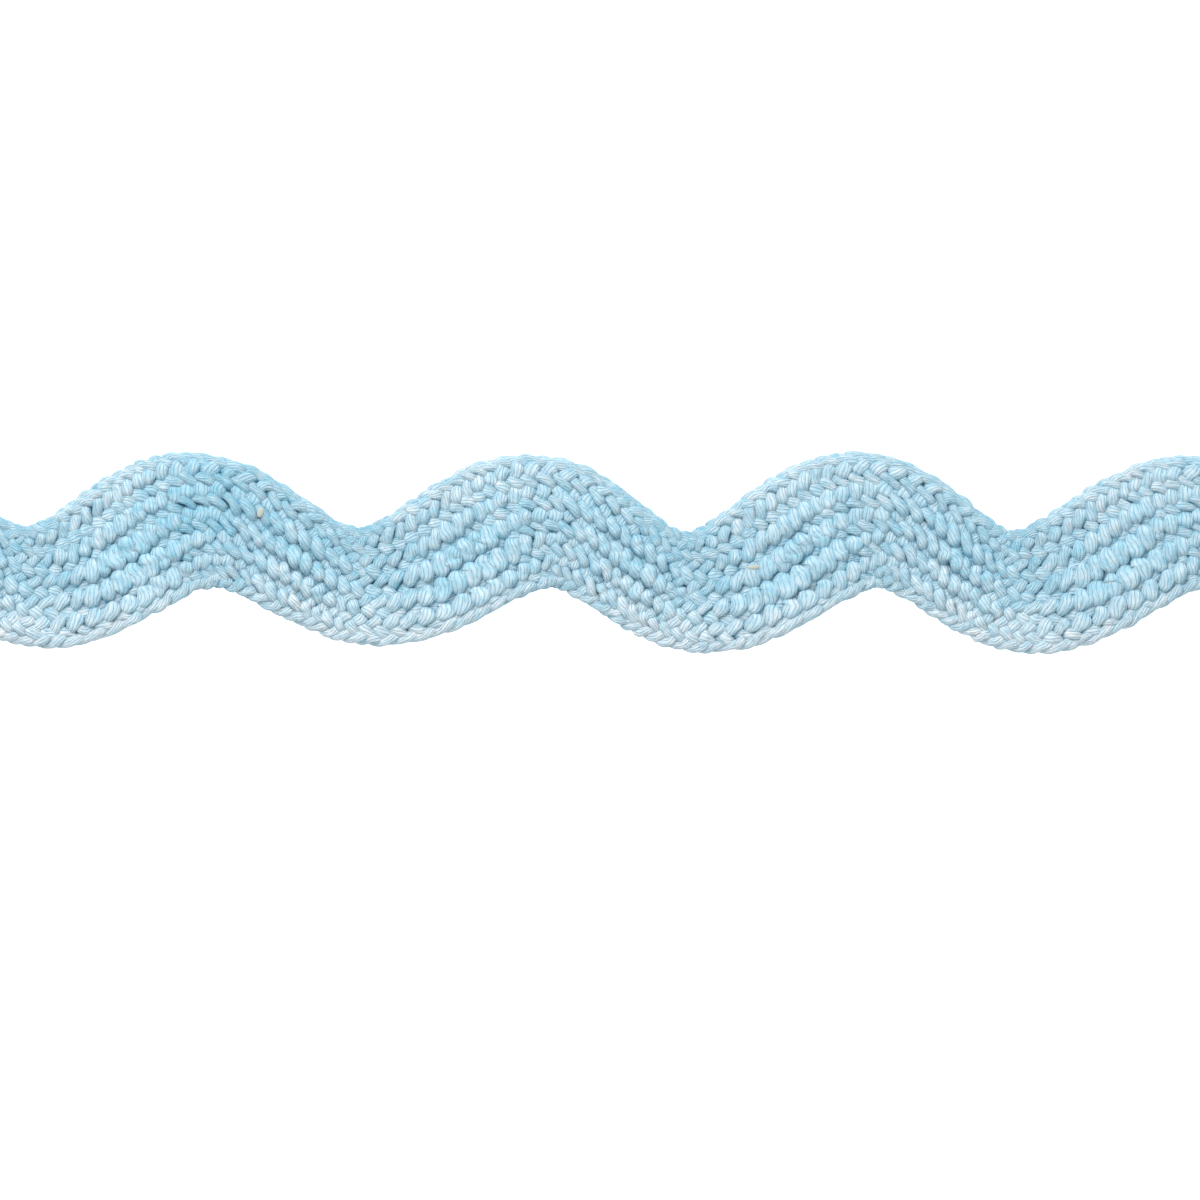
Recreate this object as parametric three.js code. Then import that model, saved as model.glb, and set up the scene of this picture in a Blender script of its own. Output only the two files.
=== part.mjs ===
// Ric rac braid: a cut length of wavy flat cotton braid, lying flat.
// Millimetres. +X runs along the braid, +Y across it and +Z up from the surface it lies on.
// The origin is under the middle of the braid, on its flat underside.

import * as THREE from 'three';

// The plait: each strand crosses the band and comes back once in a wave.
const STRANDS = 25;
const COLUMNS = (STRANDS - 1) / 2;
const SECTIONS_PER_STITCH = 2;

// Heights above the underside.
const GROOVE_HEIGHT = 1.15;
const RIB_RISE = 0.85;
const STITCH_RISE = 0.1;
const EDGE_HEIGHT = 0.6;
const EDGE_DROP = 0.35;

// The underside is this part of the band's width, so the edges are rounded.
const FOOT_SHARE = 0.9;

// The upper edge leads to the left and the lower edge to the right by this much.
const EDGE_SHIFT = 0.9;

// Where in a wave, counted from a crest, the slackest strand leaves the upper edge.
const SLACK_PHASE = -0.03;

// How far the ribs on a flank are pushed to its outer side, as a share of the half width.
const RIB_LEAN = 0.13;

// The band's centre line turns at every crest and trough. One row per turn, from left to right:
// run and rise are the steps in X and Y from the turn before, width is the band's width at the turn.
const TURNS = [
  { run: 0, rise: 0, width: 9.8 },
  { run: 12.65, rise: -5.0, width: 9.1 },
  { run: 12.15, rise: 5.05, width: 10.1 },
  { run: 12.7, rise: -5.0, width: 8.9 },
  { run: 12.75, rise: 4.9, width: 10.05 },
  { run: 11.65, rise: -5.35, width: 9.05 },
  { run: 12.9, rise: 5.45, width: 10.2 },
  { run: 11.6, rise: -5.4, width: 9.2 },
  { run: 13.1, rise: 5.25, width: 9.85 },
  { run: 12.4, rise: -5.0, width: 9.1 },
];

const HALF_WAVES = TURNS.length - 1;
const SECTIONS = (HALF_WAVES * STRANDS * SECTIONS_PER_STITCH) / 2;

// The braid as plaited cotton: soft, matt and light blue.
const COTTON = new THREE.MeshStandardMaterial({ color: 0xa3cde2, roughness: 0.95, metalness: 0 });

// The middle of the plait's column, from +1 at the upper edge to -1 at the lower edge.
function columnCentre(column) {
  return 1 - (2 * column + 1) / COLUMNS;
}

// A smooth step from 0 to 1 with level ends, as a turn of the wave has.
function swing(share) {
  return (1 - Math.cos(Math.PI * share)) / 2;
}

// The centre line's point, its slope and the band's half width. wave counts waves from the left end.
function bandAt(wave) {
  const turn = Math.min(Math.floor(wave * 2), HALF_WAVES - 1);
  const share = wave * 2 - turn;
  const here = TURNS[turn];
  const next = TURNS[turn + 1];
  const before = TURNS.slice(1, turn + 1);
  const startX = before.reduce((sum, row) => sum + row.run, 0);
  const startY = before.reduce((sum, row) => sum + row.rise, 0);
  return {
    x: startX + next.run * share,
    y: startY + next.rise * swing(share),
    slope: ((next.rise / next.run) * Math.PI * Math.sin(Math.PI * share)) / 2,
    half: THREE.MathUtils.lerp(here.width, next.width, swing(share)) / 2,
  };
}

// How slack the strand on top is, from 0 (pulled straight) to 1 (bulging). Even columns show strands
// on their way down from the upper edge, and odd columns strands on their way up from the lower one.
function slackness(wave, column) {
  const across = columnCentre(column);
  const sinceUpperEdge = column % 2 === 0 ? (1 - across) / 4 : 0.5 + (1 + across) / 4;
  const turn = wave - sinceUpperEdge - SLACK_PHASE;
  return (1 + Math.cos(2 * Math.PI * turn)) / 2;
}

// The height of a column's strands at one section, with the bump of each stitch.
function columnHeight(wave, section, column) {
  const stitch = (section + Math.floor(column / 2)) % SECTIONS_PER_STITCH === 0 ? 1 : -1;
  const drop = EDGE_DROP * Math.abs(columnCentre(column)) ** 4;
  return GROOVE_HEIGHT + RIB_RISE * slackness(wave, column) + STITCH_RISE * stitch - drop;
}

// The band's cross-section as an outline of unit half width: a flat foot, two round edges and a
// point on each column of the plait.
function sectionShape() {
  const shape = new THREE.Shape();
  shape.moveTo(-FOOT_SHARE, 0);
  shape.lineTo(FOOT_SHARE, 0);
  shape.lineTo(1, EDGE_HEIGHT);
  for (let column = 0; column < COLUMNS; column += 1) {
    shape.lineTo(columnCentre(column), GROOVE_HEIGHT);
  }
  shape.lineTo(-1, EDGE_HEIGHT);
  shape.closePath();
  return shape;
}

// Where a column's rib runs across the band: the bends push the ribs up on a falling flank and down on
// a rising one, and the edges hold them.
function leanAcross(across, wave) {
  return across + RIB_LEAN * Math.sin(2 * Math.PI * wave) * (1 - across ** 4);
}

// Takes a point of the straight extrusion, whose X runs across the band, Y up and Z along it in
// sections, to its place in the wavy braid.
function placeOnBand(across, up, section) {
  const wave = (section / SECTIONS) * (HALF_WAVES / 2);
  const band = bandAt(wave);
  const length = Math.hypot(1, band.slope);
  const column = Math.round(((1 - across) * COLUMNS - 1) / 2);
  const onRib = up === GROOVE_HEIGHT;
  const place = onRib ? leanAcross(across, wave) : across;
  return new THREE.Vector3(
    band.x - (band.slope / length) * band.half * place - EDGE_SHIFT * place,
    band.y + (1 / length) * band.half * place,
    onRib ? columnHeight(wave, section, column) : up,
  );
}

// The whole braid: its section run straight, then every point taken to its place on the band.
function braidGeometry() {
  const geometry = new THREE.ExtrudeGeometry(sectionShape(), {
    depth: SECTIONS,
    steps: SECTIONS,
    bevelEnabled: false,
  });
  const points = geometry.getAttribute('position');
  for (let index = 0; index < points.count; index += 1) {
    // Heights are matched exactly in placeOnBand, so the 32-bit value is rounded back first.
    const up = Math.round(points.getY(index) * 1e4) / 1e4;
    const place = placeOnBand(points.getX(index), up, Math.round(points.getZ(index)));
    points.setXYZ(index, place.x, place.y, place.z);
  }
  geometry.computeVertexNormals();
  return geometry;
}

// Puts the origin under the middle of the braid.
function centreOnOrigin(geometry) {
  geometry.computeBoundingBox();
  const middle = geometry.boundingBox.getCenter(new THREE.Vector3());
  geometry.translate(-middle.x, -middle.y, 0);
  return geometry;
}

const ricRac = new THREE.Group();
const braid = new THREE.Mesh(centreOnOrigin(braidGeometry()), COTTON);
braid.name = 'ric_rac_braid';
ricRac.add(braid);

export default ricRac;
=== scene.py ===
"""A cut length of ric rac braid, plaited strand by strand, lying flat on a pale surface.

The braid's own sizes are in millimetres and turned into metres as each mesh is made. A place in the braid is
given by its wave, counted in whole waves from the left end, and by across, which is +1 on the upper edge and
-1 on the lower edge.
"""

import logging
import math
from dataclasses import dataclass, field
from enum import Enum

import bpy
import numpy as np
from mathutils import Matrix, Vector

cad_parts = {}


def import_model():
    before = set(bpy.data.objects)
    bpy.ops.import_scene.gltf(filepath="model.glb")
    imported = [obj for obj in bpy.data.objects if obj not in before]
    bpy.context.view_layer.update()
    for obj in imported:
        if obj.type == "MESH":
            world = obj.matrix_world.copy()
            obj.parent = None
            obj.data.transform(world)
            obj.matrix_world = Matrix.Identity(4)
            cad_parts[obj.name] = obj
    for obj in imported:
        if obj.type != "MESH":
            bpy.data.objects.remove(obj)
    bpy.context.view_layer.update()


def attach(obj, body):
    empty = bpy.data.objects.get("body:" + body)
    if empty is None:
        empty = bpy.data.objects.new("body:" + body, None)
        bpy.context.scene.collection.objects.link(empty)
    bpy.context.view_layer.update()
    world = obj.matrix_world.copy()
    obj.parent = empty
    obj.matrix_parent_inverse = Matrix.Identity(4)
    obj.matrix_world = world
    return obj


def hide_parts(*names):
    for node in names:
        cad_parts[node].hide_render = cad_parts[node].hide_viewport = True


MM = 0.001
NODE = "ric_rac_braid"
GROUPS = 5
FIRST_SEED = 1000
BOX_SAMPLES = 2000
AREA_SAMPLES = 1500

# How far past the band's ends a strand is worked out before it is cut there, in waves.
OVERRUN = 0.25

# How many waves a wander is the sum of, the paces they are drawn from, and what brings it to unit size.
WANDER_WAVES = 5
WANDER_PACES = (0.4, 1.6)
WANDER_SIZE = 2.2

# Nearly all of a noise's values lie between these, and are spread over the whole of 0 to 1.
NOISE_LOW = 0.3
NOISE_HIGH = 0.7

Socket = bpy.types.NodeSocket

log = logging.getLogger("ric_rac")


class Heading(Enum):
    """Which way a strand crosses the band."""

    DOWN = "from the upper edge to the lower edge"
    UP = "from the lower edge to the upper edge"


@dataclass(frozen=True)
class Turn:
    """A crest or trough of the band's centre line, in millimetres.

    Args:
        run: Step along X from the turn before.
        rise: Step in Y from the turn before.
        width: Width of the band at this turn.
    """

    run: float
    rise: float
    width: float


TURNS = (
    Turn(run=0.0, rise=0.0, width=9.8),
    Turn(run=12.65, rise=-5.0, width=9.1),
    Turn(run=12.15, rise=5.05, width=10.1),
    Turn(run=12.7, rise=-5.0, width=8.9),
    Turn(run=12.75, rise=4.9, width=10.05),
    Turn(run=11.65, rise=-5.35, width=9.05),
    Turn(run=12.9, rise=5.45, width=10.2),
    Turn(run=11.6, rise=-5.4, width=9.2),
    Turn(run=13.1, rise=5.25, width=9.85),
    Turn(run=12.4, rise=-5.0, width=9.1),
)


@dataclass(frozen=True)
class SoftSpot:
    """A soft round patch where the yarn's colour is deeper, in millimetres.

    Args:
        x: X of its middle.
        y: Y of its middle.
        reach: How far it spreads.
        depth: How much deeper the yarn's shade is in its middle.
    """

    x: float
    y: float
    reach: float
    depth: float

    def depth_at(self, points: np.ndarray) -> np.ndarray:
        """How much deeper the shade is at each point, given by X, Y and Z in the last place."""
        away = (points[..., 0] - self.x) ** 2 + (points[..., 1] - self.y) ** 2
        return self.depth * np.exp(-away / (2.0 * self.reach**2))


SHADED_CREST = SoftSpot(x=-30.5, y=4.8, reach=3.2, depth=0.55)


def swing(share: np.ndarray) -> np.ndarray:
    """A smooth step from 0 to 1 with level ends."""
    return (1.0 - np.cos(np.pi * share)) / 2.0


@dataclass(frozen=True)
class Band:
    """The wavy band that the plait fills, as the CAD solid has it.

    Args:
        turns: The crests and troughs of the centre line, from left to right.
        edge_shift: How far the upper edge leads to the left and the lower edge to the right.
        arc_lag: How much of a half wave's length its steep middle takes beyond an even share.
    """

    turns: tuple[Turn, ...] = TURNS
    edge_shift: float = 0.9
    arc_lag: float = 0.09

    @property
    def waves(self) -> float:
        """The number of whole waves from end to end."""
        return (len(self.turns) - 1) / 2.0

    def place(self, wave: np.ndarray, across: np.ndarray, inset: float = 0.0) -> np.ndarray:
        """Finds points of the band in plan.

        Args:
            wave: Waves from the left end, even along the centre line's length.
            across: From +1 on the upper edge to -1 on the lower edge.
            inset: How far inside the edges across counts from.

        Returns:
            An array of X and Y, before the braid is centred on the origin.
        """
        halves = len(self.turns) - 1
        turn = np.clip(np.floor(wave * 2.0).astype(int), 0, halves - 1)
        even = wave * 2.0 - turn
        share = even + self.arc_lag * np.sin(2.0 * np.pi * even) / (2.0 * np.pi)
        runs = np.array([row.run for row in self.turns])
        rises = np.array([row.rise for row in self.turns])
        widths = np.array([row.width for row in self.turns])
        step = swing(share)
        x = np.cumsum(runs)[turn] + runs[turn + 1] * share
        y = np.cumsum(rises)[turn] + rises[turn + 1] * step
        slope = rises[turn + 1] / runs[turn + 1] * np.pi * np.sin(np.pi * share) / 2.0
        half = (widths[turn] + (widths[turn + 1] - widths[turn]) * step) / 2.0 - inset
        length = np.hypot(1.0, slope)
        return np.stack(
            [
                x - slope / length * half * across - self.edge_shift * across,
                y + half * across / length,
            ],
            axis=-1,
        )

    def middle(self) -> np.ndarray:
        """Finds the middle of the band's box in plan, which the CAD solid has at its origin.

        Returns:
            Its X and Y.
        """
        wave = np.linspace(0.0, self.waves, BOX_SAMPLES)
        edges = np.concatenate([self.place(wave, np.full_like(wave, side)) for side in (1.0, -1.0)])
        return (edges.min(axis=0) + edges.max(axis=0)) / 2.0


@dataclass(frozen=True)
class Plait:
    """How the strands run: each crosses over two strands and under two, and back, once in a wave.

    A strand's cycle counts from the upper edge: it reaches the lower edge at 0.5 and is back at 1. A slack
    strand stays slack and a tight one tight, and that difference is what pulls the band into waves.

    Args:
        strands: Strands in the plait.
        slack_phase: Where in a wave, from a crest, the slackest strand leaves the upper edge.
        slack_drift: How much later in a wave the strands are slackest on their way back up.
        crowding: How much closer the stitches lie on the outside of a bend than on its inside.
        crowd_phase: Where in a wave, from a crest, the stitches crowd least on the lower edge.
        turn_round: How rounded a strand's turn at the edge is, as a share of the half width.
        lean: How far the stitches on a flank are pushed to its outer side, as a share of the half width.
        least_sway: How far any strand swings along the band between its floats, in waves.
        slack_sway: How much further the slackest strands swing.
        firmness: How flat the floats of an even pair of strands lie on top before they dive.
        slack_firmness: How much flatter the slackest floats lie.
        slack_bias: How much longer than their dives the slackest floats are.
        evenness: How long the two sets of strands stay a match around a crest or trough.
        sway_skew: How lopsided the swing along the band is.
        edge_stitch: How long before its first float's middle a strand leaves an edge, in stitches.
        edge_slowing: How near an edge the stitches run at half pace, as the strand turns round.
        painted_pale_outer: How much paler the yarn is painted outside a bend, where its stitches lie flat:
            painted light.
        painted_pale_edge: How much paler the edges are painted than the middle: painted light and shade.
        painted_pale_lower: How much paler it is painted towards the lower edge: painted light.
        pale_phase: Half of how far before a crest the upper edge is painted palest, in waves.
    """

    strands: int = 25
    slack_phase: float = -0.03
    slack_drift: float = 0.07
    crowding: float = 0.42
    crowd_phase: float = -0.08
    turn_round: float = 0.2
    lean: float = 0.13
    least_sway: float = 0.004
    slack_sway: float = 0.013
    firmness: float = 2.0
    slack_firmness: float = 0.5
    slack_bias: float = 0.6
    evenness: float = 1.4
    sway_skew: float = 0.25
    edge_stitch: float = 0.75
    edge_slowing: float = 0.5
    painted_pale_outer: float = 0.26
    painted_pale_edge: float = 0.2
    painted_pale_lower: float = 0.12
    pale_phase: float = 0.05

    def from_upper(self, cycle: np.ndarray) -> np.ndarray:
        """How far a strand is from the upper edge, from 0 to 0.5, whichever way it heads."""
        return np.abs((cycle + 0.5) % 1.0 - 0.5)

    def across(self, cycle: np.ndarray) -> np.ndarray:
        """Finds a strand's place across the band, with its turns at the edges rounded.

        Args:
            cycle: Where it is in its cycle.

        Returns:
            From +1 on the upper edge to -1 on the lower edge.
        """
        from_upper = self.from_upper(cycle)
        nearest = np.minimum(from_upper, 0.5 - from_upper)
        soft = self.turn_round
        inward = (np.hypot(4.0 * nearest, soft) - soft) / (math.hypot(1.0, soft) - soft)
        return np.where(from_upper < 0.25, 1.0 - inward, inward - 1.0)

    def heading_down(self, cycle: np.ndarray) -> np.ndarray:
        """True where the strand crosses from the upper edge to the lower one."""
        return (cycle % 1.0) < 0.5

    def stitch(self, cycle: np.ndarray) -> np.ndarray:
        """Counts a strand's stitches from the edge that it left.

        Args:
            cycle: Where it is in its cycle.

        Returns:
            Even numbers at the middles of floats, and odd ones at those of dives.
        """
        number = self.strands * (cycle % 0.5) - self.edge_stitch
        first = self.edge_slowing - self.edge_stitch
        last = self.strands / 2.0 - self.edge_stitch - self.edge_slowing
        number = np.where(number < first, first + (number - first) * 0.5, number)
        return np.where(number > last, last + (number - last) * 0.5, number)

    def lift(self, stitch: np.ndarray, lead: np.ndarray) -> np.ndarray:
        """Works out how high a strand rides.

        Args:
            stitch: Where it is in its stitches.
            lead: How far its slackness leads.

        Returns:
            From +1 on top of the braid to -1 under it.
        """
        firmness = self.firmness + self.slack_firmness * np.clip(lead, 0.0, 1.0)
        bias = self.slack_bias * lead
        most = np.tanh(firmness * (1.0 + np.abs(bias)))
        return np.tanh(firmness * (np.cos(np.pi * stitch) + bias)) / most

    def slackness(self, wave: np.ndarray, across: np.ndarray, heading: Heading) -> np.ndarray:
        """Works out how slack the strands that head one way are.

        Args:
            wave: Waves from the left end.
            across: Their place across the band.
            heading: Which way they head.

        Returns:
            From 0, pulled straight, to 1, bulging.
        """
        if heading is Heading.DOWN:
            slackest = self.slack_phase + (1.0 - across) / 4.0
        else:
            slackest = self.slack_phase + self.slack_drift + 0.5 + (1.0 + across) / 4.0
        return (1.0 + np.cos(2.0 * np.pi * (wave - slackest))) / 2.0

    def lead(self, own: np.ndarray, other: np.ndarray) -> np.ndarray:
        """How far a strand's slackness leads the other set's, from -1 to 1."""
        ahead = own - other
        return np.sign(ahead) * np.abs(ahead) ** self.evenness

    def lean_across(self, wave: np.ndarray, across: np.ndarray) -> np.ndarray:
        """Where a stitch ends up across the band once the bends have pushed it aside."""
        return across + self.lean * np.sin(2.0 * np.pi * wave) * (1.0 - across**4)

    def sway(self, stitch: np.ndarray, across: np.ndarray, lead: np.ndarray) -> np.ndarray:
        """Works out how far a strand swings along the band, so that its floats lie squarely across it.

        Args:
            stitch: Where it is in its stitches.
            across: Its place across the band.
            lead: How far its slackness leads.

        Returns:
            The swing in waves.
        """
        swing_back = np.sin(np.pi * stitch) - self.sway_skew * np.sin(2.0 * np.pi * stitch)
        reach = self.least_sway + self.slack_sway * np.clip(lead, 0.0, 1.0)
        return -reach * swing_back * (1.0 - across**6)

    def crowd(self, wave: np.ndarray, across: np.ndarray) -> np.ndarray:
        """How far the stitches at a place are shifted along the band, in waves."""
        spread = self.crowding / (2.0 * np.pi) * np.sin(np.pi * across / 2.0)
        return -spread * np.sin(2.0 * np.pi * (wave - self.crowd_phase))

    def painted_paleness(self, wave: np.ndarray, across: np.ndarray) -> np.ndarray:
        """How much paler the yarn is painted at a place: painted light on flat bends and the lower edge,
        shade in the middle.
        """
        outer = across * np.cos(2.0 * np.pi * (wave + self.pale_phase * (1.0 + across)))
        return self.painted_pale_outer * outer + self.painted_pale_edge * (np.abs(across) - 0.5) - self.painted_pale_lower * across


@dataclass(frozen=True)
class Course:
    """Where a strand runs in plan, with a row for each ring.

    Args:
        plan: Its points in X and Y.
        wave: Their places along the band, in waves.
        even: The same before its stitches crowd and sway.
        across: Their places across the band, before the bends push them aside.
        lift: How high it rides, from -1 to 1.
        own: How slack it is, from 0 to 1.
        lead: How far its slackness leads that of the strands it crosses, from -1 to 1.
    """

    plan: np.ndarray
    wave: np.ndarray
    even: np.ndarray
    across: np.ndarray
    lift: np.ndarray
    own: np.ndarray
    lead: np.ndarray

    @property
    def edge(self) -> np.ndarray:
        """How near each point is to an edge, from 0 to 1."""
        return np.abs(self.across) ** 6


@dataclass(frozen=True)
class Exposure:
    """How open a strand is to the light.

    Args:
        falloff: How fast that falls from its back to its sides.
        deep: What is left of it on a strand's back at the bottom of a dive.
        high: How much it gains for each unit of lift.
        edge: What a strand has all round where it turns back at an edge.
        pale: How much it gains from the band's painted paleness, which is painted light and shade.
        most: The most that a point can have.
    """

    falloff: float = 0.7
    deep: float = 0.3
    high: float = 0.35
    edge: float = 0.8
    pale: float = 0.6
    most: float = 1.2

    def reach(self, angle: np.ndarray, lift: np.ndarray, edge: np.ndarray, pale: np.ndarray) -> np.ndarray:
        """Works out how open to the light each point of each ring is.

        Args:
            angle: The points' angles round the strand.
            lift: How high it rides.
            edge: How near it is to an edge.
            pale: How much paler it is painted there, as painted light and shade.

        Returns:
            From 0, in the dark, to most.
        """
        back = np.clip(np.sin(angle), 0.0, 1.0) ** self.falloff
        reach = np.maximum(back * (self.deep + self.high * (1.0 + lift)), self.edge * edge)
        return np.clip(reach + self.pale * pale, 0.0, self.most)


@dataclass(frozen=True)
class Yarn:
    """A strand: a soft bundle of plies that spreads where it floats and narrows where it dives.

    Args:
        plies: Plies that show round a strand.
        sides: Points in a ring.
        steps_per_wave: Rings along a strand in one wave.
        squareness: How full the flattened section's corners are, from 0, an ellipse, to 1, a box.
        unroundness: How uneven the section is, as a share of its radius.
        lobes: Waves round the section, each with its share of that.
        lobe_drift: How far they turn as they run along the strand, in radians.
        lobe_rate: How often they turn back in a wave of the braid.
        bulk: The bundle's cross-section in square millimetres, where it is slack.
        tight_bulk: The share of that which is left where it is pulled straight.
        least_half: Narrowest half width.
        most_half: Widest half width.
        least_thick: Thinnest half thickness.
        most_thick: Thickest half thickness.
        closeness: The bundle's half width as a share of the room beside its neighbours.
        slack_press: How much wider the slackest strands lie than their room gives them.
        rib_press: How much wider still they lie on a rising flank, where they press together.
        open_room: Room beside its neighbours below which a strand can't rise as high.
        least_rise: The share of its height that a strand keeps in the least room.
        twist_pitch: Length in which the plies turn once round the strand, where it is pulled straight.
        untwist: How much longer that length is where the strand is slackest.
        spread: Height that the strands above and below the middle share between them.
        lead_share: How much more of that height the strands that lead in slackness take.
        edge_press: How much flatter the plait is at its edges.
        hang: How much further strands go below the middle than above it, down to the surface.
        middle: Height of the braid's middle above the surface it lies on.
        floor: Lowest that a strand's surface reaches.
        edge_inset: How far inside the band's edge a strand's middle turns round.
        edge_half: Least half width of a strand where it turns back at an edge.
        dive_half: How much narrower a strand is halfway between a float and a dive.
        dive_thick: How much thinner it is there.
        swell_half: How much its half width varies along it.
        swell_rise: How much the height of its floats varies.
        swell_rate: How often they vary in a wave.
        unevenness: How far a strand strays from its course.
        stray_rate: How often it strays in a wave.
        own_tone: The least and most of the strands' own shades.
        exposure: How open the strands are to the light.
    """

    plies: int = 13
    sides: int = 14
    steps_per_wave: int = 250
    squareness: float = 0.2
    unroundness: float = 0.06
    lobes: tuple[tuple[int, float], ...] = ((2, 0.5), (3, 0.5), (5, 0.3))
    lobe_drift: float = 1.5
    lobe_rate: float = 7.0
    bulk: float = 0.58
    tight_bulk: float = 0.4
    least_half: float = 0.36
    most_half: float = 0.9
    least_thick: float = 0.17
    most_thick: float = 0.3
    closeness: float = 0.61
    slack_press: float = 0.25
    rib_press: float = 0.25
    open_room: float = 0.7
    least_rise: float = 0.6
    twist_pitch: float = 4.2
    untwist: float = 1.6
    spread: float = 0.58
    lead_share: float = 0.34
    edge_press: float = 0.3
    hang: float = 1.9
    middle: float = 1.0
    floor: float = 0.02
    edge_inset: float = 0.36
    edge_half: float = 0.4
    dive_half: float = 0.14
    dive_thick: float = 0.15
    swell_half: float = 0.12
    swell_rise: float = 0.08
    swell_rate: float = 11.0
    unevenness: float = 0.075
    stray_rate: float = 13.0
    own_tone: tuple[float, float] = (0.25, 0.75)
    exposure: Exposure = Exposure()

    def filled(self, part: np.ndarray) -> np.ndarray:
        """Pushes a sine or cosine of a section's angle outwards, so that its corners fill."""
        return np.sign(part) * np.abs(part) ** (1.0 - self.squareness)


@dataclass
class StrandGroup:
    """Some of the plait's strands, made as one mesh.

    Args:
        name: The piece's name.
        numbers: Which strands of the plait it holds.
        band: The band that the plait fills.
        plait: How the strands run.
        yarn: How a strand is built.
    """

    name: str
    numbers: tuple[int, ...]
    band: Band
    plait: Plait
    yarn: Yarn
    verts: list[np.ndarray] = field(default_factory=list)
    faces: list[np.ndarray] = field(default_factory=list)
    uvs: list[np.ndarray] = field(default_factory=list)
    shades: list[np.ndarray] = field(default_factory=list)

    def build(self, material: bpy.types.Material) -> bpy.types.Object:
        """Makes the group's mesh and dresses it.

        Args:
            material: The cotton that the strands are made of.

        Returns:
            The finished piece, riding on the braid's body.
        """
        for number in self.numbers:
            self.add_strand(number)
        piece = join_parts(self.name, self.verts, self.faces, self.uvs, self.shades)
        piece.data.materials.append(material)
        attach(piece, "root")
        return piece

    def course(self, number: int, aside: float = 0.0) -> Course:
        """Works out where a strand runs in plan.

        Args:
            number: The strand's number in the plait.
            aside: A shift of the whole strand along the braid in stitches, to find its neighbour.

        Returns:
            The strand's course, a little past both of the band's ends.
        """
        yarn, plait, band = self.yarn, self.plait, self.band
        count = int((band.waves + 2.0 * OVERRUN) * yarn.steps_per_wave)
        even = np.linspace(-OVERRUN, band.waves + OVERRUN, count)
        cycle = even - number / plait.strands
        across = plait.across(cycle)
        down = plait.heading_down(cycle)
        falling = plait.slackness(even, across, Heading.DOWN)
        rising = plait.slackness(even, across, Heading.UP)
        own = np.where(down, falling, rising)
        lead = plait.lead(own, np.where(down, rising, falling))
        stitch = plait.stitch(cycle)
        here = even + aside / plait.strands
        wave = here + plait.crowd(here, across) + plait.sway(stitch, across, lead)
        held = np.clip(wave, 0.0, band.waves)
        leaned = plait.lean_across(wave, across)
        plan = band.place(held, leaned, inset=yarn.edge_inset) - band.middle()
        return Course(plan, wave, even, across, plait.lift(stitch, lead), own, lead)

    def add_strand(self, number: int) -> None:
        """Adds one strand to the group, as a closed tube.

        Args:
            number: The strand's number in the plait.
        """
        yarn = self.yarn
        line = self.course(number)
        rng = np.random.default_rng(FIRST_SEED + number)
        stray = [smooth_noise(rng, line.even, yarn.stray_rate) for _ in range(3)]
        swell = smooth_noise(rng, line.even, yarn.swell_rate)
        level = unit_rows(np.gradient(line.plan, axis=0))
        gap = self.course(number, aside=1.0).plan - line.plan
        room = smooth_along(np.abs(gap[:, 0] * level[:, 1] - gap[:, 1] * level[:, 0]))
        height = yarn.middle + self.rise(line, room, swell) * line.lift
        points = np.column_stack([line.plan, height]) + yarn.unevenness * np.column_stack(stray)
        half, thick = self.section(line, room, swell)
        along = unit_rows(np.gradient(points, axis=0))
        sideways = np.cross((0.0, 0.0, 1.0), unit_rows(along * (1.0, 1.0, 0.0)))
        upward = np.cross(along, sideways)
        run = np.concatenate([[0.0], np.cumsum(np.linalg.norm(np.diff(points, axis=0), axis=1))])
        inside = np.flatnonzero((line.wave >= 0.0) & (line.wave <= self.band.waves))
        kept = slice(inside[0], inside[-1] + 1)
        start = rng.uniform(0.0, 2.0 * math.pi)
        angle = 2.0 * math.pi * np.arange(yarn.sides) / yarn.sides
        pitch = yarn.twist_pitch * (1.0 + yarn.untwist * line.own)
        turned = np.cumsum(np.gradient(run) / pitch)
        angle = start + angle[None, :] - 2.0 * math.pi * turned[kept, None]
        lumps = self.lumps(rng, line.even[kept], angle)
        out_side = lumps * yarn.filled(np.cos(angle)) * half[kept, None]
        out_up = lumps * yarn.filled(np.sin(angle)) * thick[kept, None]
        ring = points[kept, None, :] + sideways[kept, None, :] * out_side[:, :, None]
        ring += upward[kept, None, :] * out_up[:, :, None]
        ring[:, :, 2] = np.maximum(ring[:, :, 2], yarn.floor)
        # Painted light and shade: the band is painted paler on flat outer bends and lower edge, deeper in its
        # middle.
        pale = self.plait.painted_paleness(line.wave, line.across)[kept, None]
        reach = yarn.exposure.reach(angle, line.lift[kept, None], line.edge[kept, None], pale)
        tone = np.full_like(reach, rng.uniform(*yarn.own_tone)) + pale - SHADED_CREST.depth_at(ring)
        self.add_tube(ring, run[kept], tone, reach)

    def rise(self, line: Course, room: np.ndarray, swell: np.ndarray) -> np.ndarray:
        """Works out how far above and below the braid's middle a strand goes.

        Args:
            line: The strand's course.
            room: Its room beside its neighbours.
            swell: How its size wanders along it.

        Returns:
            The distance at each ring, in full lift.
        """
        yarn = self.yarn
        rise = yarn.spread * (0.5 + yarn.lead_share * line.lead)
        rise *= (1.0 - yarn.edge_press * line.edge) * (1.0 + yarn.swell_rise * swell)
        rise *= np.clip(room / yarn.open_room, yarn.least_rise, 1.0)
        return rise * np.where(line.lift < 0.0, yarn.hang, 1.0)

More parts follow.
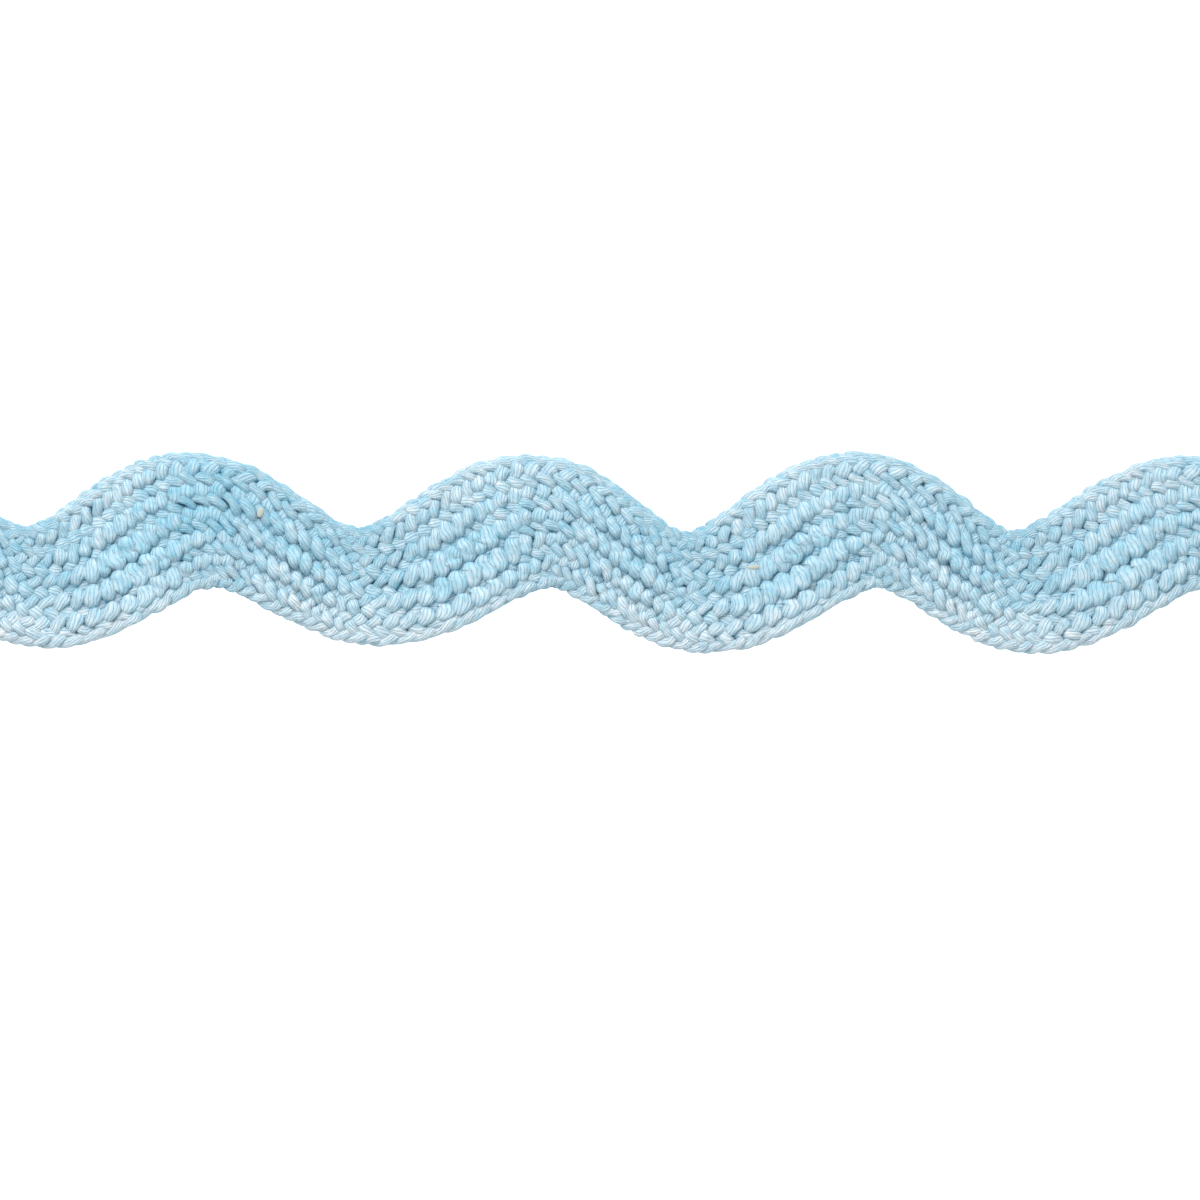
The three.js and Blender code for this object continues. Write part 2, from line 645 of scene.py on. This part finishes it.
    def section(self, line: Course, room: np.ndarray, swell: np.ndarray) -> tuple[np.ndarray, np.ndarray]:
        """Works out how wide and how thick a strand is.

        Args:
            line: The strand's course.
            room: Its room beside its neighbours.
            swell: How its size wanders along it.

        Returns:
            Its half width and its half thickness at each ring.
        """
        yarn = self.yarn
        between = 1.0 - np.abs(line.lift)
        rising = np.clip(-np.sin(2.0 * math.pi * line.wave), 0.0, 1.0)
        pressed = (yarn.slack_press + yarn.rib_press * rising) * np.clip(line.lead, 0.0, 1.0)
        half = np.clip(yarn.closeness * room, yarn.least_half, yarn.most_half)
        half *= (1.0 - yarn.dive_half * between) * (1.0 + pressed) * (1.0 + yarn.swell_half * swell)
        half = np.maximum(half, yarn.edge_half * line.edge)
        bulk = yarn.bulk * (yarn.tight_bulk + (1.0 - yarn.tight_bulk) * line.own)
        thick = np.clip(bulk / (math.pi * half), yarn.least_thick, yarn.most_thick)
        return half, thick * (1.0 - yarn.dive_thick * between)

    def lumps(self, rng: np.random.Generator, even: np.ndarray, angle: np.ndarray) -> np.ndarray:
        """Works out how uneven a strand is round its section.

        Args:
            rng: The strand's seeded source.
            even: Its place along the braid at each ring, in waves.
            angle: The angle of each point of each ring.

        Returns:
            A factor on the radius of each point.
        """
        yarn = self.yarn
        total = np.ones_like(angle)
        for count, share in yarn.lobes:
            drift = yarn.lobe_drift * smooth_noise(rng, even, yarn.lobe_rate)[:, None]
            total += yarn.unroundness * share * np.sin(count * angle + drift + rng.uniform(0.0, 6.0))
        return total

    def add_tube(self, ring: np.ndarray, run: np.ndarray, tone: np.ndarray, reach: np.ndarray) -> None:
        """Adds a tube with closed ends.

        Args:
            ring: Its points, ring by ring.
            run: The length along it at each ring.
            tone: The strand's own shade at each point with the band's painted light and shade, from 0 to 1.
            reach: How open each point is to the light, from 0 to 1.
        """
        rings, sides, _ = ring.shape
        base = sum(len(part) for part in self.verts)
        step = np.arange(rings - 1)[:, None] * sides
        side = np.arange(sides)[None, :]
        beside = (side + 1) % sides
        quads = np.stack([step + side, step + beside, step + beside + sides, step + side + sides], axis=-1)
        even = np.ones((rings - 1, sides))
        near, far = run[:-1, None] * even, run[1:, None] * even
        left, right = side / sides * even, (side + 1) / sides * even
        pairs = ((near, left), (near, right), (far, right), (far, left))
        corners = [np.stack(pair, axis=-1) for pair in pairs]
        self.verts.append(ring.reshape(-1, 3))
        self.faces.append(quads.reshape(-1, 4) + base)
        self.uvs.append(np.stack(corners, axis=2).reshape(-1, 4, 2))
        self.add_cap(base, sides, run[0], first=True)
        self.add_cap(base + (rings - 1) * sides, sides, run[-1], first=False)
        self.shades.append(np.column_stack([tone.ravel(), reach.ravel()]))

    def add_cap(self, base: int, sides: int, run: float, first: bool) -> None:
        """Closes a tube's cut end with four-sided faces across it.

        Args:
            base: Number of the end ring's first point.
            sides: Points in the ring.
            run: The length along the tube there.
            first: True at the tube's start, whose face looks the other way.
        """
        rows = np.arange(sides // 2 - 1)
        quads = np.stack([rows, rows + 1, sides - 2 - rows, sides - 1 - rows], axis=-1)
        if not first:
            quads = quads[:, ::-1]
        self.faces.append(quads[:, ::-1] + base)
        self.uvs.append(np.stack([np.full(quads.shape, run), quads / sides], axis=-1))


def unit_rows(vectors: np.ndarray) -> np.ndarray:
    """Each row scaled to length 1."""
    return vectors / np.linalg.norm(vectors, axis=1, keepdims=True)


def smooth_noise(rng: np.random.Generator, place: np.ndarray, rate: float) -> np.ndarray:
    """A smooth wander about zero, of about unit size.

    Args:
        rng: The seeded source of its phases.
        place: Where it is wanted.
        rate: How many times it swings in a unit of place.

    Returns:
        The wander at each place.
    """
    total = np.zeros_like(place)
    for _ in range(WANDER_WAVES):
        pace = rate * rng.uniform(*WANDER_PACES)
        total += np.sin(2.0 * math.pi * (pace * place + rng.uniform(0.0, 1.0)))
    return total / WANDER_SIZE


def smooth_along(values: np.ndarray, reach: int = 2) -> np.ndarray:
    """A running mean over as many neighbours on both sides."""
    padded = np.pad(values, reach, mode="edge")
    return np.convolve(padded, np.ones(2 * reach + 1) / (2 * reach + 1), mode="valid")


def join_parts(
    name: str,
    verts: list[np.ndarray],
    faces: list[np.ndarray],
    uvs: list[np.ndarray],
    shades: list[np.ndarray],
) -> bpy.types.Object:
    """Makes one smooth mesh object from parts given in millimetres.

    Args:
        name: The object's name.
        verts: Each part's points.
        faces: Each part's four-sided faces.
        uvs: Each part's face corners in its own map.
        shades: Each part's tone and openness to the light at its points.

    Returns:
        The object, at the origin and in the scene.
    """
    points = np.concatenate(verts) * MM
    quads = np.concatenate(faces)
    mesh = bpy.data.meshes.new(name)
    mesh.vertices.add(len(points))
    mesh.vertices.foreach_set("co", points.astype(np.float32).ravel())
    mesh.loops.add(quads.size)
    mesh.loops.foreach_set("vertex_index", quads.astype(np.int32).ravel())
    mesh.polygons.add(len(quads))
    mesh.polygons.foreach_set("loop_start", np.arange(0, quads.size, 4, dtype=np.int32))
    mesh.update(calc_edges=True)
    layer = mesh.uv_layers.new(name="ply")
    layer.data.foreach_set("uv", np.concatenate(uvs).astype(np.float32).ravel())
    values = np.concatenate(shades).astype(np.float32)
    for column, label in enumerate(("tone", "reach")):
        shade = mesh.attributes.new(label, "FLOAT", "POINT")
        shade.data.foreach_set("value", np.ascontiguousarray(values[:, column]))
    mesh.polygons.foreach_set("use_smooth", np.ones(len(quads), dtype=bool))
    mesh.validate()
    piece = bpy.data.objects.new(name, mesh)
    bpy.context.scene.collection.objects.link(piece)
    return piece


@dataclass
class Ground:
    """The close middle of the plait, where the strands are pressed together: a thin sheet, dark as painted
    shade in the gaps.

    Args:
        band: The band that it lies in.
        low: Height of its underside.
        high: Height of its upper side.
        inset: How far inside the band's edges it ends.
        along: Steps along the braid.
        over: Steps across it.
        sharp: The bend from which an edge shows as a sharp one, in degrees.
    """

    band: Band
    low: float = 0.82
    high: float = 1.02
    inset: float = 0.75
    along: int = 450
    over: int = 8
    sharp: float = 40.0

    def build(self, material: bpy.types.Material) -> bpy.types.Object:
        """Makes the sheet.

        Args:
            material: The cotton's dark copy, painted shade for the gaps between strands.

        Returns:
            The finished piece.
        """
        bpy.ops.object.select_all(action="DESELECT")
        bpy.ops.mesh.primitive_grid_add(x_subdivisions=self.along, y_subdivisions=self.over, size=2.0)
        piece = bpy.context.object
        piece.name = piece.data.name = "braid_ground"
        mesh = piece.data
        flat = np.empty(len(mesh.vertices) * 3, dtype=np.float32)
        mesh.vertices.foreach_get("co", flat)
        flat = flat.reshape(-1, 3).astype(float)
        wave = (flat[:, 0] + 1.0) / 2.0 * self.band.waves
        plan = self.band.place(wave, flat[:, 1], inset=self.inset) - self.band.middle()
        points = np.column_stack([plan, np.full(len(plan), self.high)]) * MM
        mesh.vertices.foreach_set("co", points.astype(np.float32).ravel())
        mesh.update()
        thicken = piece.modifiers.new("thickness", "SOLIDIFY")
        thicken.thickness = (self.high - self.low) * MM
        thicken.offset = -1.0
        bpy.ops.object.modifier_apply(modifier=thicken.name)
        bpy.ops.object.shade_smooth_by_angle(angle=math.radians(self.sharp))
        piece.data.materials.append(material)
        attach(piece, "root")
        return piece

    def flat_area(self) -> float:
        """Works out the sheet's cut area.

        Returns:
            The area in square metres.
        """
        wave = np.linspace(0.0, self.band.waves, AREA_SAMPLES)
        upper = self.band.place(wave, np.ones_like(wave), inset=self.inset)
        lower = self.band.place(wave, -np.ones_like(wave), inset=self.inset)
        outline = np.concatenate([upper, lower[::-1]])
        x, y = outline[:, 0], outline[:, 1]
        return abs(np.dot(x, np.roll(y, -1)) - np.dot(y, np.roll(x, -1))) / 2.0 * MM * MM


@dataclass(frozen=True)
class Fleck:
    """A bit of husk caught in the yarn, in millimetres.

    Args:
        x: X of its middle.
        y: Y of its middle.
        length: Its length.
        width: Its width.
        turn: How far its length is turned from X, in degrees.
    """

    x: float
    y: float
    length: float
    width: float
    turn: float


FLECKS = (
    Fleck(x=-26.6, y=3.0, length=0.8, width=0.5, turn=70.0),
    Fleck(x=10.3, y=-1.1, length=1.0, width=0.36, turn=4.0),
)


@dataclass
class Husks:
    """The two pale bits of husk that stayed in the cotton.

    Args:
        flecks: Each bit's place and size.
        thick: Their thickness.
        feel: How far round a bit's middle the top of the yarn is looked for.
    """

    flecks: tuple[Fleck, ...] = FLECKS
    thick: float = 0.16
    feel: float = 0.25

    def build(self, material: bpy.types.Material, groups: list[bpy.types.Object]) -> bpy.types.Object:
        """Makes the bits as one piece.

        Args:
            material: The husk's material.
            groups: The strands that they lie on.

        Returns:
            The finished piece.
        """
        made = []
        for fleck in self.flecks:
            bpy.ops.object.select_all(action="DESELECT")
            bpy.ops.mesh.primitive_uv_sphere_add(
                segments=16,
                ring_count=8,
                radius=0.5 * MM,
                location=(fleck.x * MM, fleck.y * MM, self.top_of_yarn(fleck, groups)),
                rotation=(0.0, 0.0, math.radians(fleck.turn)),
            )
            bit = bpy.context.object
            bit.scale = (fleck.length, fleck.width, self.thick)
            bpy.ops.object.transform_apply(location=True, rotation=True, scale=True)
            bpy.ops.object.shade_smooth()
            made.append(bit)
        bpy.ops.object.select_all(action="DESELECT")
        for bit in made:
            bit.select_set(True)
        bpy.context.view_layer.objects.active = made[0]
        bpy.ops.object.join()
        piece = bpy.context.object
        piece.name = piece.data.name = "husk_flecks"
        piece.data.materials.append(material)
        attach(piece, "root")
        return piece

    def top_of_yarn(self, fleck: Fleck, groups: list[bpy.types.Object]) -> float:
        """Finds how high the strands stand beneath a bit of husk.

        Args:
            fleck: The bit.
            groups: The strands.

        Returns:
            The height in metres.
        """
        top = 0.0
        for group in groups:
            flat = np.empty(len(group.data.vertices) * 3, dtype=np.float32)
            group.data.vertices.foreach_get("co", flat)
            points = flat.reshape(-1, 3)
            away = np.hypot(points[:, 0] - fleck.x * MM, points[:, 1] - fleck.y * MM)
            near = points[away < self.feel * MM, 2]
            top = max(top, float(near.max(initial=0.0)))
        return top


@dataclass(frozen=True)
class Tint:
    """A colour in linear light.

    Args:
        red: Red, from 0 to 1.
        green: Green, from 0 to 1.
        blue: Blue, from 0 to 1.
    """

    red: float
    green: float
    blue: float

    def rgba(self) -> tuple[float, float, float, float]:
        """The colour with full alpha, as a shader socket takes it."""
        return (self.red, self.green, self.blue, 1.0)


WHITE = Tint(1.0, 1.0, 1.0)


def new_material(name: str) -> tuple[bpy.types.Material, bpy.types.Node]:
    """Makes a material with its usual shader.

    Args:
        name: The material's name.

    Returns:
        The material and the shader.
    """
    made = bpy.data.materials.new(name)
    made.use_nodes = True
    return made, made.node_tree.nodes["Principled BSDF"]


def set_inputs(node: bpy.types.Node, values: dict[str, object]) -> None:
    """Sets a node's inputs, each given by its name."""
    for name, value in values.items():
        node.inputs[name].default_value = value


@dataclass(frozen=True)
class HuskFinish:
    """Dry husk.

    Args:
        name: The material's name.
        colour: Its colour.
        rough: Roughness.
    """

    name: str
    colour: Tint
    rough: float = 0.7

    def material(self) -> bpy.types.Material:
        """Builds the material.

        Returns:
            The finished material.
        """
        made, shader = new_material(self.name)
        set_inputs(shader, {"Base Color": self.colour.rgba(), "Roughness": self.rough})
        return made


@dataclass(frozen=True)
class CottonFinish:
    """Soft matt cotton yarn, with fine fibre lines that wind round each ply.

    Args:
        name: The material's name.
        light: Colour of the yarn's pale fibres.
        deep: Colour of its darker fibres, which the painted shade in grooves and dives also takes.
        rough: Roughness.
        fuzz: Sheen weight of its loose surface fibres.
        fuzz_rough: Roughness of their sheen.
        shine: Specular level of the fibres.
        bump: Strength of the bump.
        fibre_depth: Depth of the plies and fibre lines, in metres.
    """

    name: str
    light: Tint
    deep: Tint
    rough: float = 0.9
    fuzz: float = 0.1
    fuzz_rough: float = 0.6
    shine: float = 0.15
    bump: float = 0.8
    fibre_depth: float = 0.00014

    def material(self, fibres: bpy.types.NodeTree) -> bpy.types.Material:
        """Builds the material.

        Args:
            fibres: The fibre pattern's node group.

        Returns:
            The finished material.
        """
        made, shader = new_material(self.name)
        sheen = {"Sheen Weight": self.fuzz, "Sheen Roughness": self.fuzz_rough}
        set_inputs(shader, {"Roughness": self.rough, "Specular IOR Level": self.shine} | sheen)
        nodes, links = made.node_tree.nodes, made.node_tree.links
        pattern = nodes.new("ShaderNodeGroup")
        pattern.node_tree = fibres
        set_inputs(pattern, {"Light": self.light.rgba(), "Deep": self.deep.rgba()})
        links.new(pattern.outputs["Color"], shader.inputs["Base Color"])
        bump = nodes.new("ShaderNodeBump")
        set_inputs(bump, {"Strength": self.bump, "Distance": self.fibre_depth})
        links.new(pattern.outputs["Height"], bump.inputs["Height"])
        links.new(bump.outputs["Normal"], shader.inputs["Normal"])
        return made


@dataclass
class FibrePattern:
    """The node group of a strand's plies, the fine fibres along them and the slow drift of the dye, with
    painted shade in the grooves between plies and where little light reaches.

    It reads the strands' own map "ply", whose X is the length along a strand in millimetres and whose Y is
    the share of a turn round it, and their attributes "tone", their own shade with the band's painted light
    and shade, and "reach", how open they are to the light.

    Args:
        plies: Plies round a strand.
        roundness: How round a ply's back is: the lower, the narrower the grooves.
        ply_wander: How far a ply strays to a side, in turns round the strand.
        wander_scale: Scale of the noise that it strays by.
        wander_detail: That noise's octaves.
        least_open: How open a groove is where stray fibres fill it most.
        fibre_open: How much more open it is where they leave it free.
        fibre_height: Height of the fibres against that of the plies.
        fibre_lean: How far a fibre leans from its ply, in turns round the strand for a millimetre.
        stretch: How fast a fibre's mark changes along the strand, against round it.
        mark_scale: Scale of the fibre marks.
        mark_detail: Their octaves.
        patch_scale: Scale of the small patches that took the dye unevenly, by the metre.
        patch_detail: Their octaves.
        grain: Roughness of every noise.
        painted_groove_shade: How much darker the yarn is painted between two plies, as painted shade.
        tone_shade: How much one strand's shade differs from another's, and how much the painted light and
            shade in the tone shows.
        patch_shade: How much the small patches differ.
        reach_shade: How much deeper the yarn is where little light gets down to it.
    """

    plies: int
    roundness: float = 0.45
    ply_wander: float = 0.045
    wander_scale: float = 3.0
    wander_detail: float = 2.0
    least_open: float = 0.35
    fibre_open: float = 0.9
    fibre_height: float = 0.5
    fibre_lean: float = 0.05
    stretch: float = 0.2
    mark_scale: float = 8.0
    mark_detail: float = 3.0
    patch_scale: float = 1400.0
    patch_detail: float = 4.0
    grain: float = 0.6
    painted_groove_shade: float = 0.92
    tone_shade: float = 0.35
    patch_shade: float = 0.35
    reach_shade: float = 0.65
    nodes: bpy.types.Nodes = field(init=False)
    links: bpy.types.NodeLinks = field(init=False)

    def build(self) -> bpy.types.NodeTree:
        """Builds the group.

        Returns:
            The group, with Light and Deep colours in, and Color and Height out.
        """
        group = bpy.data.node_groups.new("ply_fibres", "ShaderNodeTree")
        for name, way in (("Light", "INPUT"), ("Deep", "INPUT"), ("Color", "OUTPUT")):
            group.interface.new_socket(name, in_out=way, socket_type="NodeSocketColor")
        group.interface.new_socket("Height", in_out="OUTPUT", socket_type="NodeSocketFloat")
        self.nodes, self.links = group.nodes, group.links
        entry = self.nodes.new("NodeGroupInput")
        leave = self.nodes.new("NodeGroupOutput")
        ply_map = self.nodes.new("ShaderNodeUVMap")
        ply_map.uv_map = "ply"
        split = self.nodes.new("ShaderNodeSeparateXYZ")
        self.links.new(ply_map.outputs["UV"], split.inputs["Vector"])
        length, turn = split.outputs["X"], split.outputs["Y"]
        fibres = self.wound_noise(length, turn, self.mark_scale, self.mark_detail)
        stray = self.wound_noise(length, turn, self.wander_scale, self.wander_detail)
        ridge = self.ply_ridges(turn, stray, fibres)
        shade = self.shade(ridge, fibres)
        mix = self.nodes.new("ShaderNodeMix")
        mix.data_type = "RGBA"
        self.links.new(shade, mix.inputs["Factor"])
        self.links.new(entry.outputs["Deep"], mix.inputs["A"])
        self.links.new(entry.outputs["Light"], mix.inputs["B"])
        self.links.new(mix.outputs["Result"], leave.inputs["Color"])
        height = self.compute("MULTIPLY_ADD", fibres, self.fibre_height, ridge)
        self.links.new(height, leave.inputs["Height"])
        return group

    def compute(self, operation: str, *values: Socket | float) -> Socket:
        """Adds a Math node.

        Args:
            operation: The node's operation.
            values: Its inputs in order, each a socket or a number.

        Returns:
            The node's output.
        """
        node = self.nodes.new("ShaderNodeMath")
        node.operation = operation
        for socket, value in zip(node.inputs, values):
            if isinstance(value, Socket):
                self.links.new(value, socket)
            else:
                socket.default_value = value
        return node.outputs[0]

    def noise(self, vector: Socket, scale: float, detail: float) -> Socket:
        """Adds a noise whose values are spread over the whole of 0 to 1.

        Args:
            vector: Where it is read.
            scale: Its scale.
            detail: Its octaves.

        Returns:
            The spread values.
        """
        noise = self.nodes.new("ShaderNodeTexNoise")
        set_inputs(noise, {"Scale": scale, "Detail": detail, "Roughness": self.grain})
        self.links.new(vector, noise.inputs["Vector"])
        spread = self.nodes.new("ShaderNodeMapRange")
        set_inputs(spread, {"From Min": NOISE_LOW, "From Max": NOISE_HIGH})
        self.links.new(noise.outputs["Fac"], spread.inputs["Value"])
        return spread.outputs["Result"]

    def ply_ridges(self, turn: Socket, stray: Socket, fibres: Socket) -> Socket:
        """Makes the plies' round backs, with grooves that stray fibres partly fill.

        Args:
            turn: The share of a turn round the strand.
            stray: A slow noise that moves the plies to a side.
            fibres: A fine noise, low where the fibres fill a groove.

        Returns:
            1 on a ridge and 0 in an open groove.
        """
        strayed = self.compute("MULTIPLY_ADD", stray, self.ply_wander, turn)
        wave = self.compute("SINE", self.compute("MULTIPLY", strayed, math.pi * self.plies))
        back = self.compute("POWER", self.compute("ABSOLUTE", wave), self.roundness)
        groove = self.compute("SUBTRACT", 1.0, back)
        open_share = self.compute("MULTIPLY_ADD", fibres, self.fibre_open, self.least_open)
        return self.compute("SUBTRACT", 1.0, self.compute("MULTIPLY", groove, open_share))

    def wound_noise(self, length: Socket, turn: Socket, scale: float, detail: float) -> Socket:
        """Adds a noise of long marks that wind round the strand with its plies.

        Args:
            length: The length along the strand.
            turn: The share of a turn round it.
            scale: The noise's scale.
            detail: Its octaves.

        Returns:
            The noise, from 0 to 1.
        """
        leaning = self.compute("MULTIPLY_ADD", length, self.fibre_lean, turn)
        angle = self.compute("MULTIPLY", leaning, 2.0 * math.pi)
        wound = self.nodes.new("ShaderNodeCombineXYZ")
        self.links.new(self.compute("COSINE", angle), wound.inputs["X"])
        self.links.new(self.compute("SINE", angle), wound.inputs["Y"])
        self.links.new(self.compute("MULTIPLY", length, self.stretch), wound.inputs["Z"])
        return self.noise(wound.outputs["Vector"], scale, detail)

    def shade(self, ridge: Socket, fibres: Socket) -> Socket:
        """Joins what makes the yarn paler or deeper: its own tones and the painted light and shade.

        Args:
            ridge: 1 on a ply's back and 0 in a groove.
            fibres: The fibre marks.

        Returns:
            From 0, deep, to 1, light.
        """
        place = self.nodes.new("ShaderNodeTexCoord")
        patch = self.noise(place.outputs["Object"], self.patch_scale, self.patch_detail)
        tone = self.nodes.new("ShaderNodeAttribute")
        tone.attribute_name = "tone"
        rest = 1.0 - self.tone_shade - self.patch_shade
        total = self.compute("MULTIPLY", fibres, rest)
        total = self.compute("MULTIPLY_ADD", patch, self.patch_shade, total)
        total = self.compute("MULTIPLY_ADD", tone.outputs["Fac"], self.tone_shade, total)
        # Painted shade: the yarn is darker in the grooves between plies.
        groove = self.compute("MULTIPLY_ADD", ridge, self.painted_groove_shade, 1.0 - self.painted_groove_shade)
        reach = self.nodes.new("ShaderNodeAttribute")
        reach.attribute_name = "reach"
        lit = self.compute("MULTIPLY_ADD", reach.outputs["Fac"], self.reach_shade, 1.0 - self.reach_shade)
        return self.compute("MULTIPLY", self.compute("MULTIPLY", total, groove), lit)


@dataclass(frozen=True)
class Studio:
    """The pale surface, the soft light and the camera straight above.

    Args:
        frame_mm: Width of what the camera sees on the surface.
        photo_x: X of the picture's middle, in millimetres.
        photo_y: Y of the picture's middle, in millimetres.
        lens: Focal length, long, so that the view is all but parallel.
        sensor: Width of the camera's sensor, in millimetres.
        sees: The nearest and farthest that the camera sees, in metres.
        world: Strength of the even light from all round.
        key_place: Where the key light stands, in metres.
        key_size: Its side, in metres.
        key_power: Its power in watts.
        floor_size: The pale surface's side, in metres.
        floor_tint: Its colour.
        floor_glow: Light that it gives of itself, so that no shadow shows on it.
    """

    frame_mm: float = 90.0
    photo_x: float = -1.22
    photo_y: float = -3.56
    lens: float = 200.0
    sensor: float = 36.0
    sees: tuple[float, float] = (0.01, 10.0)
    world: float = 0.7
    key_place: tuple[float, float, float] = (-0.15, 0.35, 0.35)
    key_size: float = 0.4
    key_power: float = 2.75
    floor_size: float = 3.0
    floor_tint: Tint = Tint(0.93, 0.93, 0.93)
    floor_glow: float = 0.8

    def build(self) -> None:
        """Makes the surface, the lights and the camera."""
        view = bpy.context.scene.view_settings
        view.view_transform = "Standard"
        view.look = "None"
        self.add_floor()
        self.add_world()
        self.add_key_light()
        self.add_camera()

    def add_floor(self) -> None:
        """Adds the pale surface that the braid lies on."""
        bpy.ops.object.select_all(action="DESELECT")
        bpy.ops.mesh.primitive_plane_add(size=self.floor_size, location=(0.0, 0.0, 0.0))
        floor = bpy.context.object
        floor.name = "floor"
        pale, shader = new_material("pale_surface")
        matt = {"Base Color": self.floor_tint.rgba(), "Roughness": 1.0, "Specular IOR Level": 0.0}
        glow = {"Emission Color": WHITE.rgba(), "Emission Strength": self.floor_glow}
        set_inputs(shader, matt | glow)
        floor.data.materials.append(pale)

    def add_world(self) -> None:
        """Adds the even white light from all round."""
        world = bpy.data.worlds.new("even_light")
        world.use_nodes = True
        set_inputs(world.node_tree.nodes["Background"], {"Color": WHITE.rgba(), "Strength": self.world})
        bpy.context.scene.world = world

    def add_key_light(self) -> None:
        """Adds a soft square light aimed at the braid, from above the picture's upper left."""
        data = bpy.data.lights.new("key_light", "AREA")
        data.shape = "SQUARE"
        data.size = self.key_size
        data.energy = self.key_power
        light = bpy.data.objects.new("key_light", data)
        light.location = self.key_place
        light.rotation_euler = (-Vector(self.key_place)).to_track_quat("-Z", "Y").to_euler()
        bpy.context.scene.collection.objects.link(light)

    def add_camera(self) -> None:
        """Adds the camera, looking straight down with the crests at the top."""
        data = bpy.data.cameras.new("camera")
        data.sensor_width = self.sensor
        data.lens = self.lens
        data.clip_start, data.clip_end = self.sees
        distance = self.frame_mm * MM * self.lens / self.sensor
        camera = bpy.data.objects.new("camera", data)
        camera.location = (self.photo_x * MM, self.photo_y * MM, distance)
        bpy.context.scene.collection.objects.link(camera)
        bpy.context.scene.camera = camera


def main() -> None:
    """Builds the braid, the surface, the lights and the camera."""
    logging.basicConfig(level=logging.INFO, format="%(message)s")
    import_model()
    band, plait, yarn = Band(), Plait(), Yarn()
    fibres = FibrePattern(yarn.plies).build()
    cotton = CottonFinish(
        name="cotton",
        light=Tint(0.93, 0.93, 0.935),
        deep=Tint(0.14, 0.50, 0.685),
    ).material(fibres)
    # A dark copy of the cotton for the sheet under the strands: painted shade in the gaps between them.
    painted_shade_cotton = CottonFinish(
        name="cotton_painted_shade",
        light=Tint(0.16, 0.36, 0.48),
        deep=Tint(0.10, 0.26, 0.38),
    ).material(fibres)
    middle = Ground(band)
    ground = middle.build(painted_shade_cotton)
    share = plait.strands // GROUPS
    groups = []
    for part in range(GROUPS):
        numbers = tuple(range(part * share, (part + 1) * share))
        groups.append(StrandGroup(f"strands_{part + 1}", numbers, band, plait, yarn).build(cotton))
    husk = HuskFinish(name="husk", colour=Tint(0.46, 0.49, 0.44)).material()
    husks = Husks().build(husk, groups)
    for piece in (ground, husks, *groups):
        log.info("%s: %d faces", piece.name, len(piece.data.polygons))
    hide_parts(NODE)
    for group in groups:
        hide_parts(NODE)
    area = middle.flat_area()
    Studio().build()


if __name__ == "__main__":
    main()
